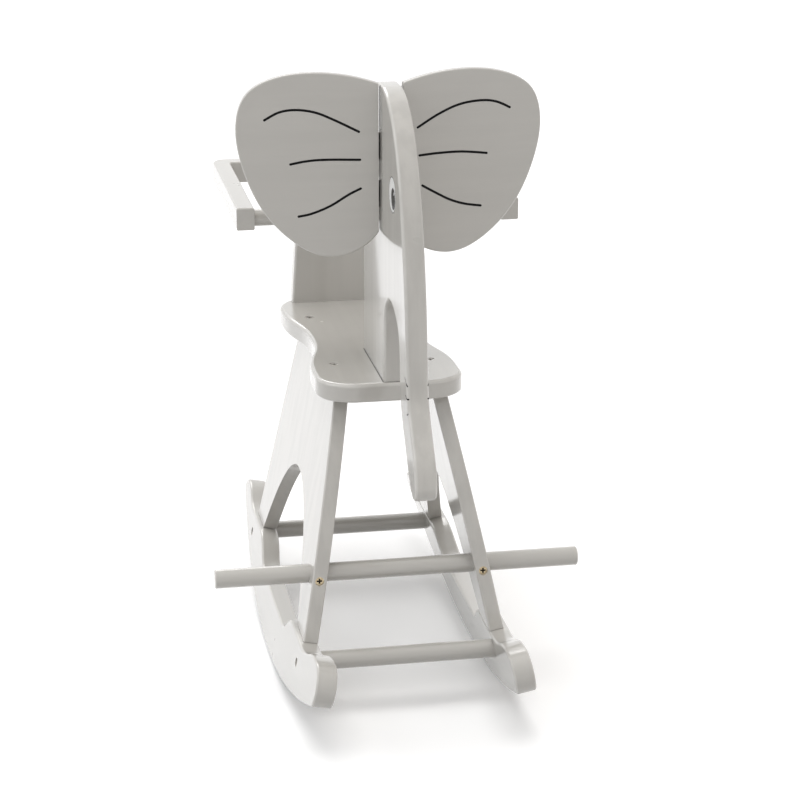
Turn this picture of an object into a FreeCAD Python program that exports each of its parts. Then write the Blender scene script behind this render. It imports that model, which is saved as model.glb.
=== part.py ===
import FreeCAD, Part
import math
import os

Vec = FreeCAD.Vector
ORIGIN = Vec(0, 0, 0)
X_AXIS = Vec(1, 0, 0)
Y_AXIS = Vec(0, 1, 0)
Z_AXIS = Vec(0, 0, 1)

# A child's rocking elephant of painted boards and dowels. Millimetres, +Z up. The trunk points along -Y.
# The origin is on the floor, in the middle plane, halfway along the rockers. The right side is +X.
# The sides lean inward: each rocker and its leg panel stand in parallel planes that close in to the seat.
# Heights along a side are measured in that plane from the platforms on which the legs stand.

# Boards
rocker_thickness = 19.0
leg_thickness = 14.0
seat_thickness = 18.0
head_thickness = 20.0
backrest_thickness = 18.0
ear_thickness = 8.0

# Stance
splay_degrees = 11.0
rocker_platform_x = 91.3
leg_inset = 2.0
leg_drop = 217.5

# Rockers
rocker_reach = 276.5
rocker_depth = 69.2
rocker_lowest_y = -4.5
rocker_nose_corner_degrees = -48.24
rocker_tail_corner_degrees = 19.55
rocker_end_radius = 21.0
rocker_nose_rise = 18.0
rocker_tail_rise = 14.0
rocker_end_corner_round = 3.0
rocker_waist_drop = 22.0
rocker_waist_reach = 66.0
platform_inner_margin = 4.0
platform_outer_margin = 6.0
rocker_edge_round = 2.0
blend_handle_share = 0.5

# Leg panels
leg_front_foot_y = -165.0
leg_front_top_y = -89.5
leg_front_bow = 9.0
leg_rear_foot_y = 189.0
leg_rear_top_y = 146.5
arch_front_foot_y = -122.0
arch_rear_foot_y = 143.0
arch_rise = 113.0
leg_edge_round = 1.5

# Dowels
footrest_radius = 9.0
footrest_length = 350.0
footrest_inset = 24.0
footrest_rise = 55.7
footrest_end_ease = 1.0
crossbar_radius = 9.0
crossbar_front_y = -170.0
crossbar_rear_y = 181.0
crossbar_drop = 16.5
handle_radius = 8.0
handle_inset = 12.0
handle_drop = 1.5
handle_rail_depth = 10.0
wood_fit_gap = 0.1

# Seat
seat_front_y = -115.0
seat_rear_y = 205.0
seat_front_half_width = 70.5
seat_waist_half_width = 56.0
seat_rear_half_width = 71.5
seat_front_corner_radius = 36.0
seat_front_lobe_y = -60.0
seat_waist_y = 43.0
seat_rear_lobe_y = 164.0
seat_rear_corner_radius = 38.0
seat_top_round = 4.0
seat_bottom_round = 2.0

# Backrest
backrest_rear_setback = 5.0
backrest_half_width = 57.0
backrest_top_half_width = 48.0
backrest_edge_round = 2.5

# Guard ring
ring_half_width = 136.0
ring_rail_width = 17.0
ring_rail_height = 22.0
ring_front_y = -27.0
ring_underside_rise = 130.5
ring_outer_corner_radius = 14.0
ring_inner_corner_radius = 4.0
ring_edge_round = 2.0

# Head panel, measured forward from its rear edge and up from the seat
head_rear_y = 3.5
head_depth = 278.0
head_height = 277.4
neck_depth = 114.5
head_edge_round = 3.0
head_rear_edge_share = 0.64
head_rear_handle_share = 0.22
head_crown_rear_share = 0.31
head_crown_handle_share = 0.17
head_crown_front_share = 0.36
trunk_front_slope_share = 0.25
trunk_rear_slope_share = 1.8
head_front_shares = [
    (0.473, 0.975),
    (0.562, 0.921),
    (0.675, 0.781),
    (0.757, 0.586),
    (0.812, 0.374),
    (0.842, 0.150),
    (0.869, 0.044),
    (0.901, -0.003),
    (0.937, -0.050),
    (0.984, -0.118),
    (1.000, -0.173),
]
trunk_tip_mid_share = (0.984, -0.220)
trunk_tip_rear_share = (0.935, -0.2235)
trunk_rear_shares = [
    (0.862, -0.161),
    (0.808, -0.091),
    (0.751, -0.017),
    (0.713, 0.097),
    (0.703, 0.200),
    (0.676, 0.258),
    (0.615, 0.297),
    (0.515, 0.312),
    (0.445, 0.278),
    (0.420, 0.241),
]
neck_front_share = 0.20

# Ears, measured outward from their inner edge and up from their lowest point, below the crown by the drop
ear_width = 130.5
ear_height = 172.0
ear_bottom_drop = 159.4
ear_sweep_degrees = 3.5
ear_edge_round = 1.5
ear_inner_low_share = 0.132
ear_inner_high_share = 0.938
ear_outline_shares = [
    (0.20, 0.980),
    (0.45, 1.000),
    (0.72, 0.977),
    (0.93, 0.886),
    (1.00, 0.722),
    (0.957, 0.498),
    (0.82, 0.264),
    (0.61, 0.090),
    (0.36, 0.002),
    (0.14, 0.037),
]

# Ear hinges
hinge_y = -85.0
hinge_height = 25.0
hinge_upper_rise = 101.5
hinge_lower_rise = 57.0
hinge_barrel_radius = 2.2
hinge_pin_radius = 1.25
hinge_pin_head_radius = 1.9
hinge_pin_head_thickness = 0.8
hinge_leaf_thickness = 1.0
hinge_leaf_width = 12.0
hinge_axis_standoff = 2.5
hinge_running_gap = 0.05
hinge_knuckle_gap = 0.3
hinge_leaf_edge_gap = 0.4
ear_inner_edge_setback = 1.5

# Screws and pins
cross_width_share = 0.2
cross_length_share = 0.62
cross_depth_share = 0.6
screw_tip_share = 1.8
screw_bore_gap = 0.1
structure_screw_head_radius = 4.2
structure_screw_shank_radius = 2.2
structure_screw_head_depth = 2.6
structure_screw_sink = 0.5
footrest_screw_sink = 1.9
footrest_screw_length = 28.0
seat_screw_length = 40.0
seat_screw_front_inset = 45.5
seat_screw_rear_inset = 22.0
crossbar_screw_sink = 2.0
crossbar_screw_length = 46.0
neck_screw_length = 50.0
neck_screw_inset = 26.0
backrest_screw_length = 50.0
backrest_screw_x = 34.0
ring_screw_length = 50.0
ring_screw_x = 30.0
hinge_screw_head_radius = 2.0
hinge_screw_shank_radius = 1.1
hinge_screw_head_depth = 0.9
hinge_screw_sink = 0.05
head_hinge_screw_length = 8.5
ear_hinge_screw_length = 6.5
hinge_screw_row_share = 0.26
hinge_screw_across_share = 0.6
foot_pin_radius = 3.0
foot_pin_length = 32.0
foot_pin_spacing = 17.0

# How close an edge lies to a level to count as lying on it
level_tolerance = 0.01

# Derived places
half_rocker = rocker_thickness / 2
half_head = head_thickness / 2
splay = math.radians(splay_degrees)
splay_cosine = math.cos(splay)
splay_sine = math.sin(splay)
rocker_round_drop = rocker_edge_round * (splay_cosine + splay_sine - 1)
platform_height = rocker_depth * splay_cosine + half_rocker * splay_sine - rocker_round_drop
seat_underside_height = platform_height + leg_drop
seat_top_height = seat_underside_height + seat_thickness
leg_foot_x = rocker_platform_x - leg_inset / splay_cosine
leg_top_x = leg_foot_x - leg_drop * math.tan(splay)
leg_slope_length = leg_drop / splay_cosine
footrest_height = platform_height + footrest_rise
footrest_leg_share = footrest_rise / leg_drop
crossbar_height = platform_height - crossbar_drop
neck_front_y = head_rear_y - neck_depth
ring_underside_height = seat_top_height + ring_underside_rise
ring_top_height = ring_underside_height + ring_rail_height
ring_inner_half_width = ring_half_width - ring_rail_width
handle_y = ring_front_y + handle_inset
handle_height = ring_underside_height + ring_rail_height / 2 - handle_drop
backrest_rear_y = seat_rear_y - backrest_rear_setback
backrest_front_y = backrest_rear_y - backrest_thickness
ear_bottom_height = seat_top_height + head_height - ear_bottom_drop
hinge_x = half_head + hinge_axis_standoff
hinge_middle_heights = (ear_bottom_height + hinge_lower_rise, ear_bottom_height + hinge_upper_rise)


def leg_front_y(share):
    """Return the y of the leg panel's bowed front edge at a share of the panel's height."""
    chord = leg_front_foot_y + (leg_front_top_y - leg_front_foot_y) * share
    return chord - 4 * leg_front_bow * share * (1 - share)


footrest_leg_front_y = leg_front_y(footrest_leg_share)
footrest_y = footrest_leg_front_y + footrest_inset


# Curves and boards


def upright(y, z):
    """Return a point of an upright outline in the plane x = 0."""
    return Vec(0, y, z)


def leaned(shape, platform_x):
    """Lean a side's shape, drawn upright with the platforms at z = 0, and set it at its x on the right."""
    placed = shape.copy()
    placed.rotate(ORIGIN, Y_AXIS, -splay_degrees)
    placed.translate(Vec(platform_x, 0, platform_height))
    return placed


def line(start, end):
    """Return a straight edge."""
    return Part.LineSegment(start, end).toShape()


def arc(start, middle, end):
    """Return the arc of a circle through three points."""
    return Part.Arc(start, middle, end).toShape()


def spline(points, start_direction=None, end_direction=None):
    """Return a smooth edge through points, with the end directions where they are given."""
    curve = Part.BSplineCurve()
    if start_direction is None:
        curve.interpolate(points)
    else:
        distances = [0.0]
        for point, following in zip(points, points[1:]):
            distances.append(distances[-1] + (following - point).Length)
        curve.interpolate(
            Points=points,
            Parameters=distances,
            InitialTangent=Vec(start_direction).normalize(),
            FinalTangent=Vec(end_direction).normalize(),
            Scale=False,
        )
    return curve.toShape()


def bezier(poles):
    """Return the edge of a Bezier curve."""
    curve = Part.BezierCurve()
    curve.setPoles(poles)
    return curve.toShape()


def level_blend(start, end):
    """Return an S-shaped edge that leaves and arrives level, between two points of an upright board."""
    handle = Vec(0, (end.y - start.y) * blend_handle_share, 0)
    return bezier([start, start + handle, end - handle, end])


def board(edges, thickness_vector):
    """Return the solid board whose outline is a closed row of edges."""
    return Part.Face(Part.Wire(edges)).extrude(thickness_vector)


def round_edges(solid, radius, chooser):
    """Round those edges of a solid that the chooser accepts."""
    chosen = [edge for edge in solid.Edges if chooser(edge)]
    return solid.makeFillet(radius, chosen)


def lies_at(edge, levels, coordinate):
    """Tell whether an edge runs along one of some levels of a coordinate, 0 for x, 1 for y or 2 for z."""
    values = [vertex.Point[coordinate] for vertex in edge.Vertexes]
    return any(all(abs(value - level) < level_tolerance for value in values) for level in levels)


def mirrored(shape):
    """Return the left copy of a right-hand shape."""
    return shape.mirror(ORIGIN, X_AXIS)


def rod(radius, start, direction, length):
    """Return a round rod."""
    return Part.makeCylinder(radius, length, start, direction)


# Fasteners


def aimed(shape, place, direction):
    """Move a shape made along +Z from the origin so that it starts at a place and runs along a direction."""
    turned = shape.copy()
    turned.Placement = FreeCAD.Placement(place, FreeCAD.Rotation(Z_AXIS, direction))
    return turned


def screw(head_radius, shank_radius, head_depth, length):
    """Return a countersunk cross-recess screw whose head is at the origin and whose tip is up at +Z."""
    tip_length = shank_radius * screw_tip_share
    head = Part.makeCone(head_radius, shank_radius, head_depth)
    shank = Part.makeCylinder(shank_radius, length - head_depth - tip_length, Vec(0, 0, head_depth))
    tip = Part.makeCone(shank_radius, 0, tip_length, Vec(0, 0, length - tip_length))
    body = head.fuse([shank, tip]).removeSplitter()
    slot_length = 2 * head_radius * cross_length_share
    slot_width = 2 * head_radius * cross_width_share
    slot_depth = head_depth * cross_depth_share
    corner = Vec(-slot_length / 2, -slot_width / 2, 0)
    slot = Part.makeBox(slot_length, slot_width, slot_depth, corner)
    other = slot.copy()
    other.rotate(ORIGIN, Z_AXIS, 90)
    return body.cut(slot.fuse(other))


def screw_bore(head_radius, shank_radius, head_depth, length, sink):
    """Return the cutter for such a screw, with a well above its head that is as deep as the sink and more."""
    wide = head_radius + screw_bore_gap
    narrow = shank_radius + screw_bore_gap
    well = Part.makeCylinder(wide, 2 * sink + head_depth, Vec(0, 0, -2 * sink - head_depth))
    cone = Part.makeCone(wide, narrow, head_depth + screw_bore_gap)
    shank = Part.makeCylinder(narrow, length + screw_bore_gap)
    return well.fuse([cone, shank])


def structure_screw(length):
    """Return one of the large wood screws."""
    return screw(
        structure_screw_head_radius, structure_screw_shank_radius, structure_screw_head_depth, length
    )


def structure_bore(length, sink):
    """Return the cutter for one of the large wood screws."""
    return screw_bore(
        structure_screw_head_radius,
        structure_screw_shank_radius,
        structure_screw_head_depth,
        length,
        sink,
    )


def placed_screws(length, sink, seats):
    """Return the screws and their cutters at a list of (surface point, direction) seats."""
    screws = []
    bores = []
    for surface, direction in seats:
        head = surface + direction * sink
        screws.append(aimed(structure_screw(length), head, direction))
        bores.append(aimed(structure_bore(length, sink), head, direction))
    return screws, bores


# Rockers


def rocker_end(side, rise, corner_degrees):
    """Return the two arcs that meet at one end's bottom corner, that corner and the end's top.

    The side is -1 for the nose and 1 for the tail. The corner lies on the end's round, turned up by an angle
    from straight outward. The underside's arc leaves the lowest point level and runs to the corner.
    """
    lowest = upright(rocker_lowest_y, -rocker_depth)
    centre = upright(side * (rocker_reach - rocker_end_radius), rise - rocker_end_radius)
    corner_angle = math.radians(corner_degrees)

    def on_round(angle):
        return centre + Vec(0, side * math.cos(angle), math.sin(angle)) * rocker_end_radius

    corner = on_round(corner_angle)
    top = on_round(math.pi / 2)
    chord = corner - lowest
    arc_radius = chord.Length**2 / (2 * chord.z)
    half_sweep = math.asin(chord.y / arc_radius) / 2
    along_arc = Vec(0, math.sin(half_sweep), -math.cos(half_sweep))
    halfway = lowest + (Z_AXIS + along_arc) * arc_radius
    end_middle = on_round((corner_angle + math.pi / 2) / 2)
    return arc(lowest, halfway, corner), arc(corner, end_middle, top), corner, top


def make_rocker():
    """Return the right rocker without its bores."""
    front_arc, nose_arc, nose_corner, nose_top = rocker_end(-1, rocker_nose_rise, rocker_nose_corner_degrees)
    rear_arc, tail_arc, tail_corner, tail_top = rocker_end(1, rocker_tail_rise, rocker_tail_corner_degrees)
    corners = [
        upright(leg_rear_foot_y + platform_outer_margin, 0),
        upright(arch_rear_foot_y - platform_inner_margin, 0),
        upright(rocker_waist_reach, -rocker_waist_drop),
        upright(-rocker_waist_reach, -rocker_waist_drop),
        upright(arch_front_foot_y + platform_inner_margin, 0),
        upright(leg_front_foot_y - platform_outer_margin, 0),
    ]
    outline = [
        front_arc,
        rear_arc,
        tail_arc,
        level_blend(tail_top, corners[0]),
        line(corners[0], corners[1]),
        level_blend(corners[1], corners[2]),
        line(corners[2], corners[3]),
        level_blend(corners[3], corners[4]),
        line(corners[4], corners[5]),
        level_blend(corners[5], nose_top),
        nose_arc,
    ]
    solid = board(Part.__sortEdges__(outline), X_AXIS * rocker_thickness)
    solid.translate(X_AXIS * (-half_rocker))

    def at_bottom_corner(edge):
        return any(
            lies_at(edge, [corner.y], 1) and lies_at(edge, [corner.z], 2)
            for corner in (nose_corner, tail_corner)
        )

    solid = round_edges(solid, rocker_end_corner_round, at_bottom_corner)
    faces = (-half_rocker, half_rocker)
    solid = round_edges(solid, rocker_edge_round, lambda edge: lies_at(edge, faces, 0))
    return leaned(solid, rocker_platform_x)


# Leg panels


def make_leg():
    """Return the right leg panel without its bores, cut square at the platforms and level at the seat."""
    past = leg_thickness * math.tan(splay)
    length = leg_slope_length
    rear_lean = (leg_rear_top_y - leg_rear_foot_y) / length
    half_span = (arch_rear_foot_y - arch_front_foot_y) / 2
    arch_middle_y = (arch_rear_foot_y + arch_front_foot_y) / 2
    low_half_span = half_span * math.sqrt(1 + past / arch_rise)
    front_low = upright(leg_front_y(-past / length), -past)
    front_high = upright(leg_front_y(1 + past / length), length + past)
    front_pole = upright(leg_front_y(1 / 2), length / 2) * 2 - (front_low + front_high) / 2
    rear_high = upright(leg_rear_top_y + rear_lean * past, length + past)
    rear_low = upright(leg_rear_foot_y - rear_lean * past, -past)
    arch_rear_low = upright(arch_middle_y + low_half_span, -past)
    arch_pole = upright(arch_middle_y, 2 * arch_rise + past)
    arch_front_low = upright(arch_middle_y - low_half_span, -past)
    edges = [
        bezier([front_low, front_pole, front_high]),
        line(front_high, rear_high),
        line(rear_high, rear_low),
        line(rear_low, arch_rear_low),
        bezier([arch_rear_low, arch_pole, arch_front_low]),
        line(arch_front_low, front_low),
    ]
    solid = board(edges, X_AXIS * leg_thickness)
    solid.translate(X_AXIS * (-leg_thickness / 2))
    faces = (-leg_thickness / 2, leg_thickness / 2)
    ends = (-past, length + past)
    rounded = round_edges(
        solid,
        leg_edge_round,
        lambda edge: lies_at(edge, faces, 0) and not lies_at(edge, ends, 2),
    )
    width = 2 * leg_foot_x
    depth = 2 * (leg_rear_foot_y - leg_front_foot_y)
    above_platforms = Part.makeBox(width, depth, 2 * length, Vec(-leg_foot_x, -depth / 2, 0))
    below_seat = Part.makeBox(width, depth, seat_underside_height, Vec(0, -depth / 2, 0))
    return leaned(rounded.common(above_platforms), leg_foot_x).common(below_seat)


# Seat, backrest and ring


def make_seat():
    """Return the seat board: round front corners, a drawn-in waist and wider rear lobes."""
    front_corner = seat_front_corner_radius
    rear_corner = seat_rear_corner_radius
    diagonal = math.sqrt(0.5)
    front_centre = Vec(seat_front_half_width - front_corner, seat_front_y + front_corner, 0)
    front_inner = front_centre - Y_AXIS * front_corner
    front_middle = front_centre + Vec(diagonal, -diagonal, 0) * front_corner
    front_outer = front_centre + X_AXIS * front_corner
    rear_centre = Vec(seat_rear_half_width - rear_corner, seat_rear_y - rear_corner, 0)
    rear_outer = rear_centre + X_AXIS * rear_corner
    rear_middle = rear_centre + Vec(diagonal, diagonal, 0) * rear_corner
    rear_inner = rear_centre + Y_AXIS * rear_corner
    lobe = Vec(seat_front_half_width, seat_front_lobe_y, 0)
    waist = Vec(seat_waist_half_width, seat_waist_y, 0)
    rear_lobe = Vec(seat_rear_half_width, seat_rear_lobe_y, 0)

    def lengthwise_blend(start, end):
        handle = Y_AXIS * ((end.y - start.y) * blend_handle_share)
        return bezier([start, start + handle, end - handle, end])

    right = [
        arc(front_inner, front_middle, front_outer),
        line(front_outer, lobe),
        lengthwise_blend(lobe, waist),
        lengthwise_blend(waist, rear_lobe),
        line(rear_lobe, rear_outer),
        arc(rear_outer, rear_middle, rear_inner),
    ]
    left = [edge.mirror(ORIGIN, X_AXIS) for edge in right]
    front = line(front_inner, Vec(-front_inner.x, front_inner.y, 0))
    rear = line(rear_inner, Vec(-rear_inner.x, rear_inner.y, 0))
    outline = Part.__sortEdges__(right + left + [front, rear])
    solid = board(outline, Z_AXIS * seat_thickness)
    solid = round_edges(solid, seat_top_round, lambda edge: lies_at(edge, [seat_thickness], 2))
    solid = round_edges(solid, seat_bottom_round, lambda edge: lies_at(edge, [0], 2))
    solid.translate(Z_AXIS * seat_underside_height)
    return solid


def make_backrest():
    """Return the backrest board, which stands on the seat, tapers upward and carries the guard ring."""
    foot = Vec(backrest_half_width, backrest_front_y, seat_top_height)
    top = Vec(backrest_top_half_width, backrest_front_y, ring_underside_height)
    other_top = Vec(-top.x, top.y, top.z)
    other_foot = Vec(-foot.x, foot.y, foot.z)
    edges = [
        line(other_foot, foot),
        line(foot, top),
        line(top, other_top),
        line(other_top, other_foot),
    ]
    solid = board(edges, Y_AXIS * backrest_thickness)
    faces = (backrest_front_y, backrest_rear_y)
    ends = (seat_top_height, ring_underside_height)
    return round_edges(
        solid,
        backrest_edge_round,
        lambda edge: lies_at(edge, faces, 1) and not lies_at(edge, ends, 2),
    )


def ring_outline(half_width, rear_y, corner_radius, front_y):
    """Return the open row of edges of one side of the ring's U, from the right front to the left front."""
    diagonal = math.sqrt(0.5)
    centre = Vec(half_width - corner_radius, rear_y - corner_radius, 0)
    side_end = centre + X_AXIS * corner_radius
    middle = centre + Vec(diagonal, diagonal, 0) * corner_radius
    rear_end = centre + Y_AXIS * corner_radius
    front = Vec(half_width, front_y, 0)

    def flip(point):
        return Vec(-point.x, point.y, point.z)

    return [
        line(front, side_end),
        arc(side_end, middle, rear_end),
        line(rear_end, flip(rear_end)),
        arc(flip(rear_end), flip(middle), flip(side_end)),
        line(flip(side_end), flip(front)),
    ]


def make_ring():
    """Return the U-shaped guard ring, whose rear bar lies on top of the backrest."""
    outer = ring_outline(ring_half_width, backrest_rear_y, ring_outer_corner_radius, ring_front_y)
    inner = ring_outline(
        ring_inner_half_width,
        backrest_rear_y - ring_rail_width,
        ring_inner_corner_radius,
        ring_front_y,
    )
    ends = [
        line(Vec(side * ring_half_width, ring_front_y, 0), Vec(side * ring_inner_half_width, ring_front_y, 0))
        for side in (-1, 1)
    ]
    outline = Part.__sortEdges__(outer + inner + ends)
    solid = board(outline, Z_AXIS * ring_rail_height)
    solid = round_edges(solid, ring_edge_round, lambda edge: lies_at(edge, (0, ring_rail_height), 2))
    solid.translate(Z_AXIS * ring_underside_height)
    return solid


# Head panel


def head_point(shares):
    """Return a point of the head's outline from its shares of the head's depth and height."""
    forward_share, up_share = shares
    y = head_rear_y - head_depth * forward_share
    return upright(y, seat_top_height + head_height * up_share)


def make_head():
    """Return the head panel: neck, skull and hanging trunk in one board."""
    base_rear = upright(head_rear_y, seat_top_height)
    base_front = upright(neck_front_y, seat_top_height)
    neck_front = upright(neck_front_y, seat_top_height + head_height * neck_front_share)
    skull_rear = head_point((0, head_rear_edge_share))
    crown_rear = head_point((head_crown_rear_share, 1))
    crown_front = head_point((head_crown_front_share, 1))
    tip_front = head_point(head_front_shares[-1])
    tip_middle = head_point(trunk_tip_mid_share)
    tip_rear = head_point(trunk_tip_rear_share)
    front_points = [crown_front] + [head_point(shares) for shares in head_front_shares]
    rear_points = [tip_rear] + [head_point(shares) for shares in trunk_rear_shares] + [neck_front]
    rise = Z_AXIS * (head_height * head_rear_handle_share)
    run = Y_AXIS * (head_depth * head_crown_handle_share)
    down = Vec(0, -trunk_front_slope_share, -1)
    up_back = Vec(0, trunk_rear_slope_share, 1)
    edges = [
        line(base_front, base_rear),
        line(base_rear, skull_rear),
        bezier([skull_rear, skull_rear + rise, crown_rear + run, crown_rear]),
        line(crown_rear, crown_front),
        spline(front_points, -Y_AXIS, down),
        arc(tip_front, tip_middle, tip_rear),
        spline(rear_points, up_back, -Z_AXIS),
        line(neck_front, base_front),
    ]
    solid = board(edges, X_AXIS * head_thickness)
    solid.translate(X_AXIS * (-half_head))
    faces = (-half_head, half_head)
    return round_edges(
        solid,
        head_edge_round,
        lambda edge: lies_at(edge, faces, 0) and not lies_at(edge, [seat_top_height], 2),
    )


# Ears and hinges


def ear_placed(shape):
    """Move a shape from the ear's own frame, with the hinge axis as its z axis, to the right ear's place."""
    placed = shape.copy()
    placed.rotate(ORIGIN, Z_AXIS, ear_sweep_degrees)
    placed.translate(Vec(hinge_x, hinge_y, 0))
    return placed


def ear_point(shares):
    """Return a point of the ear's outline from its shares of the ear's width and height."""
    across_share, up_share = shares
    return Vec(
        ear_width * across_share - ear_inner_edge_setback,
        -hinge_axis_standoff,
        ear_bottom_height + ear_height * up_share,
    )


def make_ear():
    """Return the right ear board in the ear's own frame, with its rear face on the hinge leaves."""
    inner_low = ear_point((0, ear_inner_low_share))
    inner_high = ear_point((0, ear_inner_high_share))
    points = [inner_high] + [ear_point(shares) for shares in ear_outline_shares] + [inner_low]
    edges = [
        line(inner_low, inner_high),
        spline(points),
    ]
    solid = board(edges, -Y_AXIS * ear_thickness)
    faces = (-hinge_axis_standoff - ear_thickness, -hinge_axis_standoff)
    return round_edges(
        solid,
        ear_edge_round,
        lambda edge: lies_at(edge, faces, 1) and edge.Curve.TypeId != "Part::GeomLine",
    )


def knuckle(low, high):
    """Return the barrel of a hinge between two heights, without its bore."""
    return Part.makeCylinder(hinge_barrel_radius, high - low, Vec(0, 0, low))


def make_leaf(middle_height, turns_with_ear):
    """Return one hinge leaf in the frame of the hinge axis, with its plate along +X.

    The plate's seat is at -Y. The ear's leaf has the middle knuckle, the head's leaf the outer two.
    """
    bottom = middle_height - hinge_height / 2
    third = hinge_height / 3
    half_gap = hinge_knuckle_gap / 2
    plate_start = hinge_barrel_radius + hinge_leaf_edge_gap
    plate = Part.makeBox(
        hinge_leaf_width - plate_start,
        hinge_leaf_thickness,
        hinge_height,
        Vec(plate_start, -hinge_axis_standoff, bottom),
    )
    if turns_with_ear:
        ranges = [(bottom + third + half_gap, bottom + 2 * third - half_gap)]
    else:
        ranges = [
            (bottom, bottom + third - half_gap),
            (bottom + 2 * third + half_gap, bottom + hinge_height),
        ]
    pieces = []
    for low, high in ranges:
        pieces.append(knuckle(low, high))
        strap = Part.makeBox(
            plate_start, hinge_leaf_thickness, high - low, Vec(0, -hinge_axis_standoff, low)
        )
        pieces.append(strap)
    leaf = plate.fuse(pieces)
    bore = Part.makeCylinder(
        hinge_pin_radius + hinge_running_gap, hinge_height, Vec(0, 0, bottom)
    )
    return leaf.cut(bore).removeSplitter()


def make_pin(middle_height):
    """Return a hinge pin with a flat head on each end."""
    bottom = middle_height - hinge_height / 2
    top = middle_height + hinge_height / 2
    core = Part.makeCylinder(hinge_pin_radius, hinge_height, Vec(0, 0, bottom))
    caps = [
        Part.makeCylinder(hinge_pin_head_radius, hinge_pin_head_thickness, Vec(0, 0, height))
        for height in (bottom - hinge_pin_head_thickness, top)
    ]
    return core.fuse(caps).removeSplitter()


def head_placed(shape):
    """Move a leaf or screw from the frame of the hinge axis to the right face of the head, behind the ear."""
    placed = shape.mirror(ORIGIN, Vec(1, -1, 0))
    placed.translate(Vec(hinge_x, hinge_y, 0))
    return placed


def leaf_screw_rows():
    """Return the heights of the leaf screws of both hinges."""
    rows = []
    for middle in hinge_middle_heights:
        for side in (-1, 1):
            rows.append(middle + side * hinge_height * hinge_screw_row_share)
    return rows


def small_screws(length):
    """Return the leaf screws of one side in the frame of the hinge axis, with their cutters."""
    across = hinge_leaf_width * hinge_screw_across_share
    outside = hinge_leaf_thickness - hinge_axis_standoff
    sizes = (hinge_screw_head_radius, hinge_screw_shank_radius, hinge_screw_head_depth, length)
    screws = []
    bores = []
    for height in leaf_screw_rows():
        head = Vec(across, outside - hinge_screw_sink, height)
        screws.append(aimed(screw(*sizes), head, -Y_AXIS))
        bores.append(aimed(screw_bore(*sizes, hinge_screw_sink), head, -Y_AXIS))
    return screws, bores


# Assembly


def both_sides(right_shapes):
    """Return the right-hand shapes followed by their left copies."""
    return right_shapes + [mirrored(shape) for shape in right_shapes]


def cut_all(shape, cutters):
    """Return a shape without the space of its cutters."""
    return shape.cut(Part.makeCompound(cutters))


def export(name, shapes):
    """Write one node from one shape or a list of separate solids."""
    shape = shapes if isinstance(shapes, Part.Shape) else Part.makeCompound(shapes)
    if shape.ShapeType == "Compound" and len(shape.Solids) == 1:
        shape = shape.Solids[0]
    shape.exportStep("parts/" + name + ".step")


def export_pair(name, right_shapes):
    """Write the right-hand node and its left copy."""
    export("right_" + name, right_shapes)
    if isinstance(right_shapes, Part.Shape):
        export("left_" + name, mirrored(right_shapes))
    else:
        export("left_" + name, [mirrored(shape) for shape in right_shapes])


def footrest_bar():
    """Return the footrest dowel with its end edges eased."""
    half_length = footrest_length / 2
    low = Vec(-half_length, footrest_y, footrest_height)
    bar = rod(footrest_radius, low, X_AXIS, footrest_length)
    ends = [edge for edge in bar.Edges if lies_at(edge, (-half_length, half_length), 0)]
    return bar.makeChamfer(footrest_end_ease, ends)


def rocker_face_x(side, height):
    """Return the x of the right rocker's outer face, side 1, or inner face, side -1, at a height."""
    middle = rocker_platform_x + (platform_height - height) * math.tan(splay)
    return middle + side * half_rocker / splay_cosine


def crossbar(y):
    """Return one crossbar, whose ends are cut to the lean of the rockers' inner faces."""
    reach = rocker_face_x(-1, crossbar_height - crossbar_radius)
    bar = rod(crossbar_radius, Vec(-reach, y, crossbar_height), X_AXIS, 2 * reach)
    beyond = leaned(
        Part.makeBox(reach, 2 * reach, 2 * reach, Vec(-half_rocker, -reach, -reach)), rocker_platform_x
    )
    beyond.translate(Y_AXIS * y)
    return cut_all(bar, both_sides([beyond]))


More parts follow.
